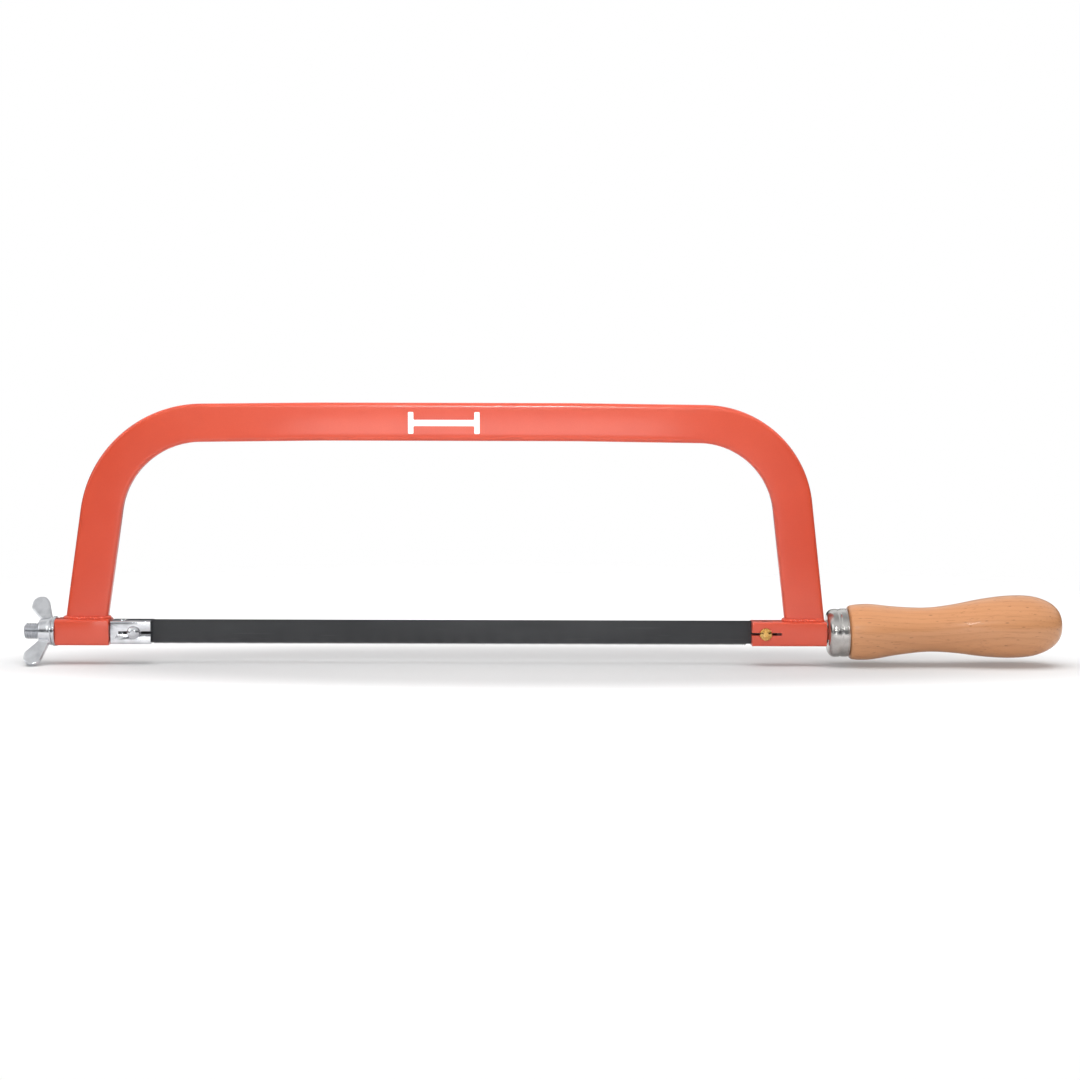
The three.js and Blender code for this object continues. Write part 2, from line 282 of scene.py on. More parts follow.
def rounded(corners, steps=6, closed=True):
    """Points through (x, y, radius) corners, each corner rounded by an arc of equal steps."""
    points = []
    last = len(corners) - 1
    for i, (x, y, radius, *own) in enumerate(corners):
        if radius == 0 or (not closed and i in (0, last)):
            points.append((x, y))
            continue
        corner = Vector((x, y))
        back = (Vector(corners[i - 1][:2]) - corner).normalized()
        ahead = (Vector(corners[(i + 1) % len(corners)][:2]) - corner).normalized()
        half = math.acos(max(-1, min(1, back.dot(ahead)))) / 2
        centre = corner + (back + ahead).normalized() * radius / math.sin(half)
        spoke = corner + back * radius / math.tan(half) - centre
        turn = (math.pi - 2 * half) * (-1 if back.cross(ahead) > 0 else 1)
        count = own[0] if own else steps
        for step in range(count + 1):
            arm = spoke.copy()
            arm.rotate(Matrix.Rotation(turn * step / count, 2))
            points.append(tuple(centre + arm))
    return points


def rounded_square(size, radius, steps=6):
    """The (y, z) points of a square section with round corners."""
    half = size / 2
    signs = [(-1, -1), (1, -1), (1, 1), (-1, 1)]
    return rounded([(a * half, b * half, radius) for a, b in signs], steps)


def spline(points, steps):
    """A smooth curve through the points, as a uniform Catmull-Rom spline."""
    curve = []
    spans = len(points) - 1
    for i in range(steps + 1):
        place = i / steps * spans
        index = min(int(place), spans - 1)
        t = place - index
        near = [points[max(0, min(spans, index + k))] for k in (-1, 0, 1, 2)]
        weights = (
            -0.5 * t**3 + t**2 - 0.5 * t,
            1.5 * t**3 - 2.5 * t**2 + 1,
            -1.5 * t**3 + 2 * t**2 + 0.5 * t,
            0.5 * t**3 - 0.5 * t**2,
        )
        curve.append(tuple(sum(w * p[axis] for w, p in zip(weights, near)) for axis in (0, 1)))
    return curve


def at(x, y=0.0, z=AXIS_Z):
    return Matrix.Translation((x, y, z))


def cuboid(low, high):
    vertices = [(x, y, z) for x in (low[0], high[0]) for y in (low[1], high[1])
                for z in (low[2], high[2])]
    faces = [(0, 1, 3, 2), (4, 6, 7, 5), (0, 4, 5, 1), (2, 3, 7, 6), (0, 2, 6, 4), (1, 5, 7, 3)]
    return piece("tool", vertices, faces, None)


def rod(radius, length, place, sides=48):
    return turned("tool", [(0, 0), (0, radius), (length, radius), (length, 0)], None, place, sides)


# ---------------------------------------------------------------- materials

class Finish:
    """A Principled material and short calls that add nodes to it."""

    def __init__(self, name):
        self.material = bpy.data.materials.new(name)
        self.material.use_nodes = True
        self.tree = self.material.node_tree
        self.shader = self.tree.nodes["Principled BSDF"]
        self.place = self.add("ShaderNodeTexCoord").outputs["Object"]

    def add(self, kind, inputs=None, **settings):
        node = self.tree.nodes.new(kind)
        for key, value in settings.items():
            setattr(node, key, value)
        for key, value in (inputs or {}).items():
            if isinstance(value, bpy.types.NodeSocket):
                self.tree.links.new(value, node.inputs[key])
            else:
                node.inputs[key].default_value = value
        return node

    def stretched(self, scale):
        """Object coordinates, stretched by a scale for each axis."""
        return self.add("ShaderNodeMapping", {"Vector": self.place, "Scale": scale}).outputs[0]

    def noise(self, scale, detail=3.0, rough=0.5, where=None):
        inputs = {"Vector": where or self.place, "Scale": scale, "Detail": detail, "Roughness": rough}
        return self.add("ShaderNodeTexNoise", inputs).outputs["Fac"]

    def spread(self, value, low, high, to_low, to_high):
        """A value between low and high, spread over another range."""
        inputs = {"Value": value, "From Min": low, "From Max": high,
                  "To Min": to_low, "To Max": to_high}
        return self.add("ShaderNodeMapRange", inputs).outputs["Result"]

    def falloff(self, where, near, far):
        """One up to the near distance from the origin, easing to zero at the far one."""
        distance = self.add("ShaderNodeVectorMath", {0: where}, operation="LENGTH").outputs["Value"]
        value = self.spread(distance, near, far, 1, 0)
        value.node.interpolation_type = "SMOOTHSTEP"
        return value

    def mix(self, amount, first, second):
        node = self.add("ShaderNodeMix", data_type="RGBA")
        for index, value in ((0, amount), (6, first), (7, second)):
            if isinstance(value, bpy.types.NodeSocket):
                self.tree.links.new(value, node.inputs[index])
            else:
                node.inputs[index].default_value = value
        return node.outputs[2]

    def maths(self, operation, first, second=0.0):
        return self.add("ShaderNodeMath", {0: first, 1: second}, operation=operation).outputs[0]

    def bump(self, height, strength, distance, under=None):
        inputs = {"Height": height, "Strength": strength, "Distance": distance}
        if under:
            inputs["Normal"] = under
        return self.add("ShaderNodeBump", inputs).outputs[0]

    def shade(self, **inputs):
        """Sets the shader's sockets, named with _ for each space."""
        for key, value in inputs.items():
            socket = self.shader.inputs[key.replace("_", " ")]
            if isinstance(value, bpy.types.NodeSocket):
                self.tree.links.new(value, socket)
            else:
                socket.default_value = value
        return self.material


def rgb(red, green, blue):
    """A display colour of 0 to 255 as a linear colour."""
    def linear(value):
        value /= 255
        return value / 12.92 if value <= 0.04045 else ((value + 0.055) / 1.055) ** 2.4
    return (linear(red), linear(green), linear(blue), 1.0)


def red_enamel():
    finish = Finish("red_enamel")
    cloud = finish.spread(finish.noise(22, 4), 0.35, 0.65, 0, 1)
    colour = finish.mix(cloud, rgb(209, 72, 44), rgb(215, 80, 52))
    grain = finish.spread(finish.noise(2600, 2), 0.35, 0.75, 0, 0.18)
    colour = finish.mix(grain, colour, rgb(184, 58, 38))
    peel = finish.bump(finish.noise(420, 2, 0.45), 0.10, 0.00010)
    rough = finish.spread(finish.noise(40, 2), 0.3, 0.7, 0.28, 0.38)
    return finish.shade(Base_Color=colour, Roughness=rough, Normal=peel, IOR=1.5,
                        Coat_Weight=0.45, Coat_Roughness=0.12)


def zinc_plate(name, grain, tint=(203, 205, 209)):
    finish = Finish(name)
    lines = finish.noise(900, 3, 0.6, finish.stretched(grain))
    cloud = finish.spread(finish.noise(160, 3), 0.35, 0.65, 0, 1)
    bright = tuple(min(255, value + 22) for value in tint)
    colour = finish.mix(cloud, rgb(*tint), rgb(*bright))
    rough = finish.spread(lines, 0.3, 0.7, 0.14, 0.27)
    surface = finish.bump(lines, 0.10, 0.00006)
    surface = finish.bump(finish.noise(260, 3), 0.07, 0.0002, surface)
    return finish.shade(Base_Color=colour, Metallic=1.0, Roughness=rough, Normal=surface)


def brass():
    finish = Finish("brass_pin")
    cloud = finish.spread(finish.noise(500, 3), 0.35, 0.65, 0, 1)
    colour = finish.mix(cloud, rgb(206, 158, 84), rgb(232, 190, 120))
    rough = finish.spread(finish.noise(1400, 2), 0.3, 0.7, 0.16, 0.32)
    return finish.shade(Base_Color=colour, Metallic=1.0, Roughness=rough,
                        Normal=finish.bump(finish.noise(900, 3), 0.08, 0.0001))


def blade_lacquer():
    finish = Finish("blade_lacquer")
    rolling = finish.noise(700, 4, 0.6, finish.stretched((0.04, 1, 1)))
    cloud = finish.spread(finish.noise(12, 3, 0.5, finish.stretched((1, 1, 3))), 0.35, 0.65, 0, 1)
    colour = finish.mix(cloud, rgb(42, 43, 45), rgb(56, 57, 59))
    colour = finish.mix(finish.spread(rolling, 0.62, 0.8, 0, 0.5), colour, rgb(80, 81, 83))
    height = finish.add("ShaderNodeSeparateXYZ", {"Vector": finish.place}).outputs["Z"]
    foot = BLADE_LOW.z * MM
    ground = finish.spread(height, foot + 0.0002, foot + 0.0011, 0.55, 0)
    colour = finish.mix(ground, colour, rgb(120, 120, 122))
    rough = finish.spread(rolling, 0.3, 0.7, 0.34, 0.50)
    return finish.shade(Base_Color=colour, Metallic=0.35, Roughness=rough,
                        Normal=finish.bump(rolling, 0.12, 0.00008))


def white_print():
    finish = Finish("white_print")
    worn = finish.spread(finish.noise(700, 4, 0.6), 0.66, 0.78, 0, 0.5)
    colour = finish.mix(worn, rgb(246, 245, 240), rgb(226, 180, 165))
    rough = finish.spread(finish.noise(240, 2), 0.3, 0.7, 0.36, 0.5)
    return finish.shade(Base_Color=colour, Roughness=rough)


def beech():
    """Lacquered beech: growth rings seen along the grain, fine pores and short brown rays."""
    finish = Finish("beech")
    pith_y, pith_z, ring_width = 0.031, 0.022, 0.0026  # metres
    warp = finish.noise(9, 3, 0.5, finish.stretched((0.5, 1, 1)))
    drift = finish.spread(warp, 0, 1, -0.006, 0.006)
    split = finish.add("ShaderNodeSeparateXYZ", {"Vector": finish.place})
    across = finish.maths("ADD", split.outputs["Y"], drift)
    up = finish.maths("ADD", split.outputs["Z"], finish.maths("MULTIPLY", drift, 0.8))
    across = finish.maths("ADD", across, pith_y)
    up = finish.maths("ADD", up, pith_z)
    from_pith = finish.maths("SQRT", finish.maths(
        "ADD", finish.maths("MULTIPLY", across, across), finish.maths("MULTIPLY", up, up)))
    phase = finish.maths("MULTIPLY", from_pith, 1 / ring_width)
    ring = finish.maths("FRACT", phase)
    late = finish.spread(ring, 0.45, 1.0, 0, 1)
    late.node.interpolation_type = "SMOOTHSTEP"
    tone = finish.spread(finish.noise(14, 3, 0.5, finish.stretched((0.35, 1, 1))), 0.3, 0.7, 0, 1)
    colour = finish.mix(tone, rgb(198, 134, 88), rgb(210, 150, 102))
    colour = finish.mix(finish.maths("MULTIPLY", late, 0.22), colour, rgb(172, 108, 66))
    pores = finish.noise(1500, 3, 0.6, finish.stretched((0.05, 1, 1)))
    colour = finish.mix(finish.spread(pores, 0.58, 0.74, 0, 0.55), colour, rgb(160, 100, 60))
    flecks = finish.add("ShaderNodeTexVoronoi", {
        "Vector": finish.stretched((0.30, 1, 1)), "Scale": 620.0, "Randomness": 1.0},
        feature="F1").outputs["Distance"]
    rays = finish.spread(flecks, 0.10, 0.24, 0.75, 0)
    rays = finish.maths("MULTIPLY", rays, finish.spread(finish.noise(260, 2), 0.45, 0.62, 0, 1))
    colour = finish.mix(rays, colour, rgb(142, 86, 54))
    swell = finish.noise(70, 2, 0.4, finish.stretched((0.3, 1, 1)))
    surface = finish.bump(swell, 0.05, 0.0008, finish.bump(pores, 0.14, 0.0001))
    rough = finish.spread(pores, 0.3, 0.7, 0.36, 0.5)
    return finish.shade(Base_Color=colour, Roughness=rough, Normal=surface, IOR=1.48,
                        Coat_Weight=0.5, Coat_Roughness=0.16)


def pale_floor():
    """White board that fades into the backdrop, with a painted shadow below the saw: a soft grey pool in its
    colour.
    """
    finish = Finish("pale_floor")
    reach_x, reach_y = PAINTED_SHADOW_REACH
    # painted shadow: the floor's colour turns grey in a soft pool below the saw
    painted_shadow = finish.falloff(finish.stretched((1 / reach_x, 1 / reach_y, 1)), 0.45, 1.0)
    colour = finish.mix(painted_shadow, (0.90, 0.90, 0.90, 1), rgb(*PAINTED_SHADOW_GREY))
    return finish.shade(Base_Color=colour, Roughness=0.9, Specular_IOR_Level=0.1,
                        Alpha=finish.falloff(finish.place, *FLOOR_FADE),
                        Emission_Color=(1, 1, 1, 1), Emission_Strength=0.16)


# ---------------------------------------------------------------- the saw's pieces

def leg_line(leg, side, foot_z, width):
    """A function from height to the x of a leg's edge: its inner edge, moved out by the width."""
    slope = math.tan(math.radians(leg["splay"]))
    shift = width / math.cos(math.radians(leg["splay"]))
    return lambda z: leg["foot"] - side * slope * (z - foot_z) + side * shift


def bow_edge(top, front_z, rear_z, outer):
    """One long edge of the bow, from the front foot over the top to the rear foot."""
    bend = "outer_bend" if outer else "inner_bend"
    front = leg_line(FRONT_LEG, -1, front_z, FRONT_LEG["width"] if outer else 0)
    rear = leg_line(REAR_LEG, 1, rear_z, REAR_LEG["width"] if outer else 0)
    shoulder = top - CROWN_FALL
    middle = [(BOW_CENTRE_X + side * CROWN_FLAT, top, CROWN_BLEND, 6) for side in (-1, 1)]
    return rounded([
        (front(front_z), front_z, 0), (front(shoulder), shoulder, FRONT_LEG[bend], 40), *middle,
        (rear(shoulder), shoulder, REAR_LEG[bend], 40), (rear(rear_z), rear_z, 0),
    ], closed=False)


def bow_frame(material):
    front_z, rear_z = SLEEVE_HIGH.z, REAR_HEAD_HIGH.z
    outer = bow_edge(BAR_TOP, front_z, rear_z, True)
    inner = bow_edge(BAR_TOP - BAR_WIDTH, front_z, rear_z, False)
    half_thickness = (BOW_HIGH.y - BOW_LOW.y) / 2
    sections = []
    for (outer_x, outer_z), (inner_x, inner_z) in zip(outer, inner):
        far, near = Vector((outer_x, 0, outer_z)), Vector((inner_x, 0, inner_z))
        middle, half = (far + near) / 2, (far - near).length / 2
        across = (far - near).normalized()
        corners = [(-1, -1), (1, -1), (1, 1), (-1, 1)]
        outline = rounded([(a * half, b * half_thickness, BAR_EDGE) for a, b in corners], 8)
        section = []
        for a, b in with_flats(outline, half, half_thickness):
            section.append(middle + across * a + Vector((0, b, 0)))
        sections.append(section)
    return rings("bow", sections, material, sharp=60)


def with_flats(outline, half, half_thickness):
    """The bar's section with its two broad faces split into strips and slightly crowned."""
    points = []
    for i, (a, b) in enumerate(outline):
        points.append((a, b))
        next_a, next_b = outline[(i + 1) % len(outline)]
        if abs(next_a - a) > half:
            for step in range(1, BROAD_STRIPS):
                points.append((a + (next_a - a) * step / BROAD_STRIPS, b))
    return [(a, b * (1 - BAR_CROWN / half_thickness * (a / half) ** 2)) for a, b in points]


def weld_bead(name, ends, foot_z, material):
    """A bead of weld round a leg's foot, with the ripples of its passes."""
    (x_from, x_to), half = ends, WELD_HALF_WIDTH
    outline = rounded([(x, y, WELD_CORNER) for x, y in
                       ((x_from, -half), (x_to, -half), (x_to, half), (x_from, half))], 10)
    path = []
    for i, (x, y) in enumerate(outline):
        next_x, next_y = outline[(i + 1) % len(outline)]
        length = math.hypot(next_x - x, next_y - y)
        steps = max(1, round(length / WELD_STEP))
        path += [(x + (next_x - x) * k / steps, y + (next_y - y) * k / steps)
                 for k in range(steps)]
    sections = []
    travelled = 0.0
    for i, (x, y) in enumerate(path):
        last, after = Vector(path[i - 1]), Vector(path[(i + 1) % len(path)])
        forward = (after - last).normalized()
        out = Vector((forward.y, -forward.x))
        travelled += (Vector((x, y)) - last).length if i else 0
        ripple = 0.12 * math.sin(travelled * 2 * math.pi / WELD_PASS) + 0.08 * math.sin(travelled * 1.7)
        reach = WELD_RADIUS + ripple
        section = []
        for k in range(12):
            angle = 2 * math.pi * k / 12
            push = reach * math.cos(angle)
            section.append((x + out.x * push, y + out.y * push,
                            foot_z + WELD_LIFT + reach * math.sin(angle)))
        sections.append(section)
    return rings(name, sections, material, closed=True, sharp=70)


def guide_sleeve(material):
    """A square tube, its skin running along the outside and back through the bore."""
    size, bore = SLEEVE_HIGH.z - SLEEVE_LOW.z, SLEEVE_BORE
    start, end = SLEEVE_LOW.x, SLEEVE_HIGH.x
    rows = [
        (start + 0.5, size, 1.2), (start + 0.12, size - 0.3, 1.1), (start, size - 0.9, 0.9),
        (start, bore + 0.5, 0.6), (start + 0.3, bore, 0.4), (end - 0.3, bore, 0.4),
        (end, bore + 0.5, 0.6), (end, size - 0.9, 0.9), (end - 0.12, size - 0.3, 1.1),
        (end - 0.5, size, 1.2),
    ]
    sections = [[(x, y, AXIS_Z + z) for y, z in rounded_square(width, radius, 6)]
                for x, width, radius in rows]
    return rings("guide_sleeve", sections, material, closed=True, sharp=40)


def square_bar(name, size, radius, start, end, material):
    """A square bar along X on the blade's axis."""
    sections = [[(x, y, AXIS_Z + z) for y, z in rounded_square(size, radius, 6)]
                for x in (start, end)]
    return rings(name, sections, material, sharp=40)


def cut_head(head, size, mouth, depth, pin_x):
    """Two crossing slots from the mouth, and a pin hole across each of them."""
    way = 1 if depth > 0 else -1
    low, high = sorted((mouth - way, mouth + depth))
    reach, gap = size / 2 + 1, SLOT / 2
    down = Matrix.Translation((pin_x, 0, AXIS_Z + reach)) @ Matrix.Rotation(math.pi / 2, 4, "Y")
    across = Matrix.Translation((pin_x, -reach, AXIS_Z)) @ Matrix.Rotation(math.pi / 2, 4, "Z")
    return combine(head, [
        cuboid((low, -gap, AXIS_Z - reach), (high, gap, AXIS_Z + reach)),
        cuboid((low, -reach, AXIS_Z - gap), (high, reach, AXIS_Z + gap)),
        rod(PIN_HOLE, 2 * reach, across), rod(PIN_HOLE, 2 * reach, down),
    ], "DIFFERENCE")


def front_holder(material):
    """The slotted head and the square shank behind it."""
    size = 2 * FRONT_HEAD_HIGH.y
    head = square_bar("front_holder", size, HEAD_CORNER, HEAD_START, FRONT_HEAD_HIGH.x, material)
    shank = square_bar("tool", SHANK, 0.6, SHANK_START, HEAD_START + 2, None)
    combine(head, [shank], "UNION")
    cut_head(head, size, FRONT_HEAD_HIGH.x, -FRONT_SLOT, FRONT_PIN_X)
    return soften(head, HEAD_EDGE)


def stud_thread(material):
    """The stud's right-handed thread, with a chamfered free end."""
    start, end = FRONT_HEAD_LOW.x, SHANK_START + 0.5
    sides, per_turn = 40, 14
    rows = int((end - start) / THREAD_PITCH * per_turn)
    sections = []
    for row in range(rows + 1):
        x = start + (end - start) * row / rows
        limit = min(THREAD_CREST, THREAD_CREST - THREAD_CHAMFER + (x - start) * 1.1)
        section = []
        for i in range(sides):
            angle = 2 * math.pi * i / sides
            phase = ((x - start) / THREAD_PITCH - i / sides) % 1
            tooth = min(1, max(0, (abs(phase - 0.5) * 2 - 0.12) / 0.76))
            radius = min(limit, THREAD_CREST - THREAD_DEPTH * tooth)
            section.append((x, radius * math.cos(angle), AXIS_Z + radius * math.sin(angle)))
        sections.append(section)
    return rings("stud_thread", sections, material, sharp=50)


def rear_holder(material):
    """The slotted bar under the rear leg, with the tang that goes into the handle."""
    size = REAR_HEAD_HIGH.z - REAR_HEAD_LOW.z
    head = square_bar("rear_holder", size, HEAD_CORNER, REAR_HEAD_LOW.x, REAR_BAR_END, material)
    cut_head(head, size, REAR_HEAD_LOW.x, REAR_SLOT, REAR_PIN_X)
    sections = [[(x, y * s, z * s) for y, z in rounded_square(TANG_SIZE, 0.5, 3)]
                for x, s in ((TANG_ROOT, 1), (TANG_LENGTH * 0.7, 1), (TANG_LENGTH, 0.45))]
    tang = rings("tool", sections, None, place=handle_place())
    combine(head, [tang], "UNION")
    return soften(head, HEAD_EDGE)


def blade_pin(name, low, high, x, material):
    """A pin along Y with a domed head towards -Y and a chamfered tip."""
    seat = low.y + PIN_DOME
    length = high.y - seat
    outline = rounded([
        (-PIN_DOME, 0, 0), (-PIN_DOME, PIN_HEAD * 0.42, 0.8), (-PIN_DOME * 0.55, PIN_HEAD, 1.2),
        (0, PIN_HEAD, 0.25), (0, PIN_RADIUS, 0), (length, PIN_RADIUS, 0.45), (length, 0, 0),
    ], 6, closed=False)
    place = Matrix.Translation((x, seat, AXIS_Z)) @ Matrix.Rotation(math.pi / 2, 4, "Z")
    return turned(name, outline, material, place, sides=64, sharp=50)


def washer(material):
    thickness = WASHER_HIGH.x - WASHER_LOW.x
    radius = (WASHER_HIGH.z - WASHER_LOW.z) / 2
    outline = rounded([(0, WASHER_HOLE, 0.15), (0, radius, 0.35), (thickness, radius, 0.2),
                       (thickness, WASHER_HOLE, 0.15)], 3)
    return ring_of("washer", outline, material, at(WASHER_LOW.x), 80, 50)


def wing_nut(material):
    """A cast wing nut: joined rough, remeshed and smoothed so that its wings flow into the hub."""
    place = at(NUT_HIGH.x) @ Matrix.Rotation(NUT_TURN, 4, "X")
    hub = turned("wing_nut_body", [
        (-HUB_HEIGHT, 0), (-HUB_HEIGHT, 5.5), (-6.1, 5.8), (-1.8, 6.4),
        (-1.3, HUB_BASE_RADIUS), (0, HUB_BASE_RADIUS), (0, 0),
    ], material, place, 64)
    for side in (1, -1):
        outline = rounded([
            (-1, 4.5, 0), (-1, 6.2, 1.2), (-4.8, WING_TIP, 4), (-12, WING_TIP, 4),
            (-12, 12.4, 3), (-6, 5.6, 2), (-6, 4.5, 0),
        ], 8)
        sections = [[(x, y, side * z) for x, z in outline]
                    for y in (-WING_THICKNESS / 2, WING_THICKNESS / 2)]
        combine(hub, [rings("tool", sections, None, place=place)], "UNION")
    step = hub.modifiers.new("cast", "REMESH")
    step.mode = "VOXEL"
    step.voxel_size = CAST_VOXEL * MM
    step = hub.modifiers.new("flow", "SMOOTH")
    step.factor = 0.5
    step.iterations = CAST_SMOOTHING
    apply_modifiers(hub)
    combine(hub, [rod(NUT_BORE, 12, place @ Matrix.Translation((-9, 0, 0)))], "DIFFERENCE")
    hub.data.shade_smooth()
    hub.data.set_sharp_from_angle(angle=math.radians(62))
    return hub


def saw_blade(material):
    """The blade as a strip of stations along X, with set teeth along its lower edge."""
    half_length = (BLADE_HIGH.x - BLADE_LOW.x) / 2
    half_height = (BLADE_HIGH.z - BLADE_LOW.z) / 2
    gullet = TOOTH_DEPTH - half_height
    teeth = int(TOOTHED_LENGTH / TOOTH_PITCH)
    first = -teeth * TOOTH_PITCH / 2
    stations = []
    for i in range(teeth):
        x = first + i * TOOTH_PITCH
        stations += [(x, gullet), (x + TOOTH_RAKE, -half_height),
                     (x + TOOTH_RAKE + TOOTH_PITCH * 0.2, -half_height + TOOTH_DEPTH * 0.12)]
    stations.append((first + teeth * TOOTH_PITCH, gullet))

    def end_station(side, angle):
        x = half_length - BLADE_CORNER * (1 - math.cos(angle))
        return side * x, BLADE_CORNER * (1 - math.sin(angle))

    corners = [end_station(1, math.pi / 2 * k / 8) for k in range(8, -1, -1)]
    profile = [(-x, gullet + cut, half_height - cut) for x, cut in reversed(corners)]
    profile += [(x, low, half_height) for x, low in stations]
    profile += [(x, gullet + cut, half_height - cut) for x, cut in corners]
    half = BLADE_THICKNESS / 2
    sections = []
    for x, low, high in profile:
        wave = SET_WIDTH * math.sin(2 * math.pi * x / (TOOTH_PITCH * SET_TEETH))
        wave *= min(1, max(0, (TOOTHED_LENGTH / 2 - abs(x)) / 4))
        root = max(low, gullet + 0.25)
        rows = [(low, wave), (root, wave * 0.9), (gullet + SET_HEIGHT * 0.5, wave * 0.35),
                (gullet + SET_HEIGHT, 0), (high - 0.12, 0)]
        front = [(x, -half + shift, z) for z, shift in rows] + [(x, -half + 0.1, high)]
        back = [(x, half + shift, z) for z, shift in rows] + [(x, half - 0.1, high)]
        sections.append(front + back[::-1])
    blade = rings("blade", sections, material, place=at(BLADE_X), sharp=25)
    turn = Matrix.Rotation(math.pi / 2, 4, "Z")
    for side in (-1, 1):
        place = at(BLADE_X + side * BLADE_HOLE_SPACING / 2, -2) @ turn
        combine(blade, [rod(BLADE_HOLE, 4, place)], "DIFFERENCE")
    tidy(blade, 25)
    return blade


def handle_place():
    """The handle's own frame: its axis starts at the ferrule and rises towards the end."""
    return at(HANDLE_START_X) @ Matrix.Rotation(-HANDLE_TILT, 4, "Y")


def ferrule(material):
    """A drawn cup with a round shoulder, a shallow rolled groove and a rolled rear lip."""
    outer, length, wall = FERRULE_RADIUS, FERRULE_LENGTH, FERRULE_WALL
    groove = length / 2
    outline = rounded([
        (0, FERRULE_HOLE, 0.2), (0, outer, FERRULE_SHOULDER, 14),
        (groove, outer, 0.6), (groove + 0.5, outer - 0.28, 0.4),
        (groove + 1.2, outer - 0.28, 0.4), (groove + 1.7, outer, 0.6),
        (length - 0.9, outer, 0.2), (length - 0.7, outer - 0.12, 0.2),
        (length, outer - 0.05, 0.3), (length, outer - wall, 0.2),
        (3.6, outer - wall, 1.2), (0.9, outer - 3.6, 0.6), (0.9, FERRULE_HOLE, 0.2),
    ], 5)
    return ring_of("ferrule", outline, material, handle_place(), 112, 50)


def wooden_handle(material):
    """The turned handle: its bore for the tang, the nose inside the ferrule, and the smooth skin."""
    skin = [(s, max(0, r)) for s, r in spline(HANDLE_OUTLINE, 150)]
    skin[-1] = (HANDLE_LENGTH, 0)
    core = [(HANDLE_BORE_DEPTH, 0), (HANDLE_BORE_DEPTH, HANDLE_BORE), (NOSE_START, HANDLE_BORE),
            (NOSE_START, NOSE_RADIUS), (NOSE_END, NOSE_RADIUS)]
    return turned("handle", core + skin, material, handle_place(), 128, 40)


def length_mark(material):
    """A plain printed length mark on the bar's side: a broad line between two end ticks."""
    middle = Vector((MARK_X, BAR_TOP - BAR_WIDTH / 2 - MARK_DROP))
    end, inner = MARK_HALF_WIDTH, MARK_HALF_WIDTH - MARK_TICK_WIDTH
    tick, line = MARK_TICK_HALF, MARK_LINE_HALF
    outline = rounded([(x, z, MARK_CORNER) for x, z in (
        (-end, -tick), (-inner, -tick), (-inner, -line), (inner, -line), (inner, -tick), (end, -tick),
        (end, tick), (inner, tick), (inner, line), (-inner, line), (-inner, tick), (-end, tick),
    )], 4)
    face = BOW_LOW.y
    sections = [[(middle.x + x, y, middle.y + z) for x, z in outline]
                for y in (face - 0.02, face + 0.1)]
    return rings("length_mark", sections, material)


# ---------------------------------------------------------------- assembly

def put(obj, body, slot, *nodes):
    """Rides a piece on a body and hides the CAD nodes that it stands for. The slot argument is not used."""
    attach(obj, body)
    if nodes:
        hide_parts(*nodes)
    return obj


enamel = red_enamel()
zinc = zinc_plate("zinc_plate", (0.25, 1, 1))
zinc_turned = zinc_plate("zinc_turned", (1, 0.3, 0.3), (196, 198, 202))
nickel = zinc_plate("nickel_cup", (1, 0.15, 0.15), (184, 182, 179))

put(bow_frame(enamel), "frame", "red_enamel", "bow_frame")
put(weld_bead("front_weld", FRONT_WELD, SLEEVE_HIGH.z, enamel), "frame", "red_enamel")
put(weld_bead("rear_weld", REAR_WELD, REAR_HEAD_HIGH.z, enamel), "frame", "red_enamel")
put(guide_sleeve(enamel), "frame", "red_enamel", "front_guide_sleeve")
put(rear_holder(enamel), "frame", "red_enamel", "rear_blade_holder")
put(length_mark(white_print()), "frame", "white_print")
put(washer(zinc_turned), "frame", "zinc_steel", "tension_washer")
put(ferrule(nickel), "frame", "zinc_steel", "handle_ferrule")
put(wooden_handle(beech()), "frame", "beech", "wooden_handle")
put(front_holder(zinc), "tensioner", "zinc_steel", "front_blade_holder")
put(stud_thread(zinc_turned), "tensioner", "zinc_steel", "front_blade_holder")
put(wing_nut(zinc_plate("zinc_cast", (1, 1, 1))), "nut", "zinc_steel", "wing_nut")
put(saw_blade(blade_lacquer()), "blade", "blade_steel", "saw_blade")
put(blade_pin("front_pin", FRONT_PIN_LOW, FRONT_PIN_HIGH, FRONT_PIN_X, zinc_turned),
    "front_pin", "zinc_steel", "front_blade_pin")
put(blade_pin("rear_pin", REAR_PIN_LOW, REAR_PIN_HIGH, REAR_PIN_X, brass()),
    "rear_pin", "brass", "rear_blade_pin")


# ---------------------------------------------------------------- studio

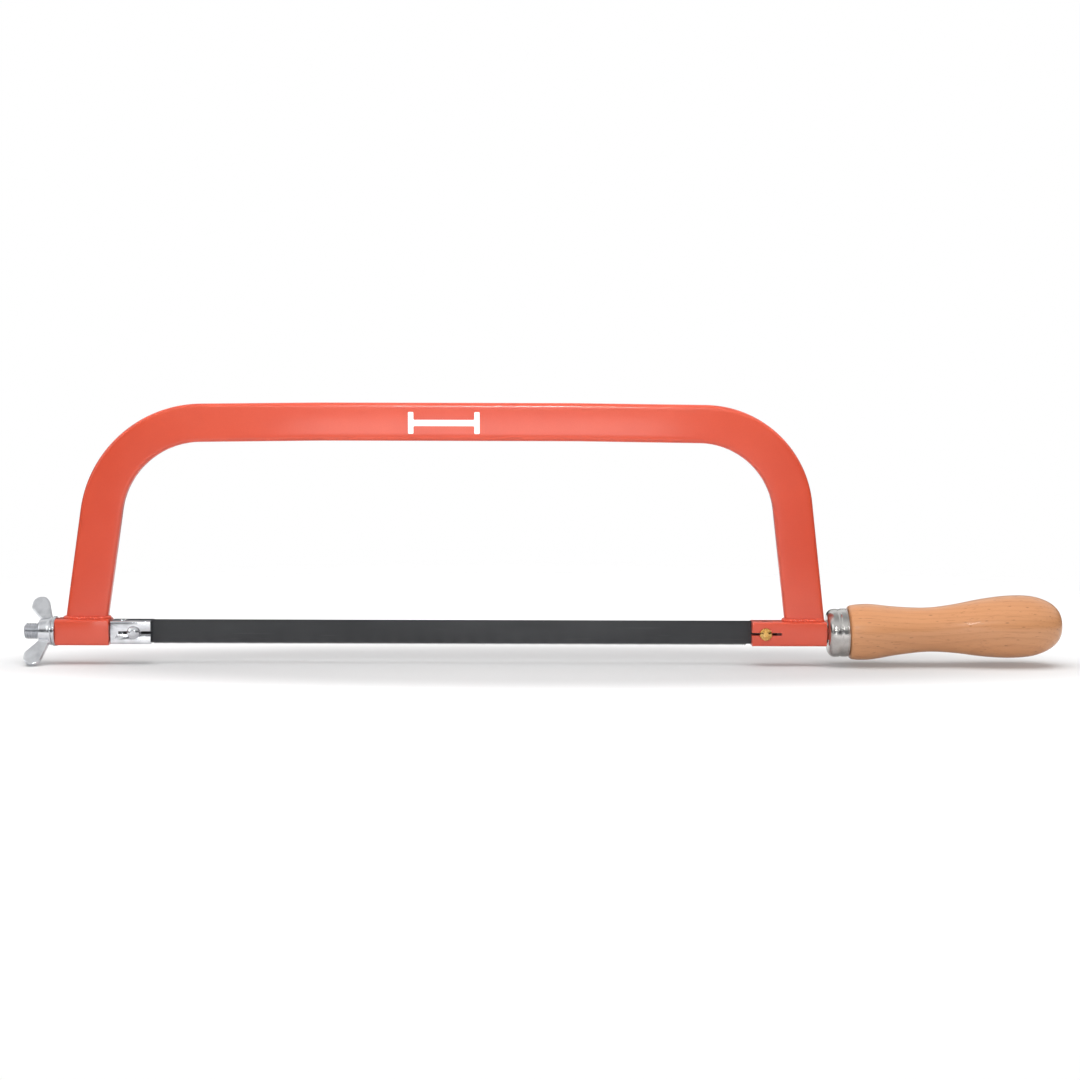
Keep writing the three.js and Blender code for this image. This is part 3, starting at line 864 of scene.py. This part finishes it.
def studio():
    """A fading floor, and a world that is white to the camera, even for light, banded for shine."""
    half = FLOOR_HALF
    floor = piece("floor", [(-half, -half, 0), (half, -half, 0), (half, half, 0), (-half, half, 0)],
                  [(0, 1, 2, 3)], pale_floor())
    world = bpy.data.worlds.new("studio")
    world.use_nodes = True
    tree = world.node_tree

    def node(kind, **sockets):
        made = tree.nodes.new(kind)
        for name, value in sockets.items():
            socket = made.inputs[name]
            if isinstance(value, bpy.types.NodeSocket):
                tree.links.new(value, socket)
            else:
                socket.default_value = value
        return made

    ray = node("ShaderNodeLightPath").outputs
    heading = node("ShaderNodeSeparateXYZ", Vector=node("ShaderNodeTexCoord").outputs["Generated"])
    band = node("ShaderNodeValToRGB", Fac=heading.outputs["Z"])
    stops = band.color_ramp.elements
    stops[0].position, stops[0].color = 0.0, (0.10, 0.10, 0.11, 1)
    stops[1].position, stops[1].color = 1.0, (0.5, 0.5, 0.5, 1)
    for position, level in ((0.24, 0.05), (0.42, 0.85), (0.78, 1.0)):
        stops.new(position).color = (level, level, level, 1)
    shine = node("ShaderNodeBackground", Color=band.outputs[0], Strength=1.0)
    even = node("ShaderNodeBackground", Color=(0.97, 0.98, 1, 1), Strength=0.32)
    backdrop = node("ShaderNodeBackground", Color=(1, 1, 1, 1), Strength=1.0)
    lit = node("ShaderNodeMixShader", Fac=ray["Is Glossy Ray"])
    tree.links.new(even.outputs[0], lit.inputs[1])
    tree.links.new(shine.outputs[0], lit.inputs[2])
    seen = node("ShaderNodeMixShader", Fac=ray["Is Camera Ray"])
    tree.links.new(lit.outputs[0], seen.inputs[1])
    tree.links.new(backdrop.outputs[0], seen.inputs[2])
    tree.links.new(seen.outputs[0], tree.nodes["World Output"].inputs[0])
    bpy.context.scene.world = world


def softbox(name, place, target, width, height, power, grid=180, shine=True):
    """A rectangular light aimed at the target. Its grid narrows the beam; shine is whether it is reflected."""
    light = bpy.data.lights.new(name, "AREA")
    light.shape = "RECTANGLE"
    light.size, light.size_y = width, height
    light.energy = power
    light.spread = math.radians(grid)
    obj = bpy.data.objects.new(name, light)
    obj.visible_glossy = shine
    obj.location = place
    obj.rotation_euler = (Vector(target) - Vector(place)).to_track_quat("-Z", "Y").to_euler()
    bpy.context.scene.collection.objects.link(obj)


def camera():
    """A long lens aimed near the saw's middle, from slightly above it, and rolled very slightly."""
    view_width = 0.5154
    lens, sensor = 65.0, 36.0
    target = Vector((-0.0018, 0, 0.0599))
    elevation, roll = math.radians(4.0), math.radians(0.15)
    back = Vector((0, -math.cos(elevation), math.sin(elevation)))
    data = bpy.data.cameras.new("camera")
    data.lens, data.sensor_width = lens, sensor
    obj = bpy.data.objects.new("camera", data)
    obj.location = target + back * view_width * lens / sensor
    aim = (-back).to_track_quat("-Z", "Y") @ Quaternion((0, 0, 1), roll)
    obj.rotation_euler = aim.to_euler()
    bpy.context.scene.collection.objects.link(obj)
    bpy.context.scene.camera = obj


studio()
softbox("front_box", (-0.05, -2.2, 0.75), (-0.03, 0, 0.09), 1.1, 0.5, 6, shine=False)
softbox("top_box", (0.0, -0.25, 1.7), (0, 0, 0.05), 1.8, 1.4, 30, shine=False)
softbox("left_box", (-1.7, -0.9, 0.8), (0, 0, 0.05), 0.7, 1.0, 3)
softbox("bar_light", (-0.04, -0.9, 0.45), (-0.04, 0, 0.112), 0.25, 0.06, 0.12, grid=30)
softbox("bar_strip", (-0.07, -1.25, 0.06), (-0.04, 0, 0.10), 0.42, 0.12, 0.7)
camera()
bpy.context.scene.view_settings.view_transform = "Standard"
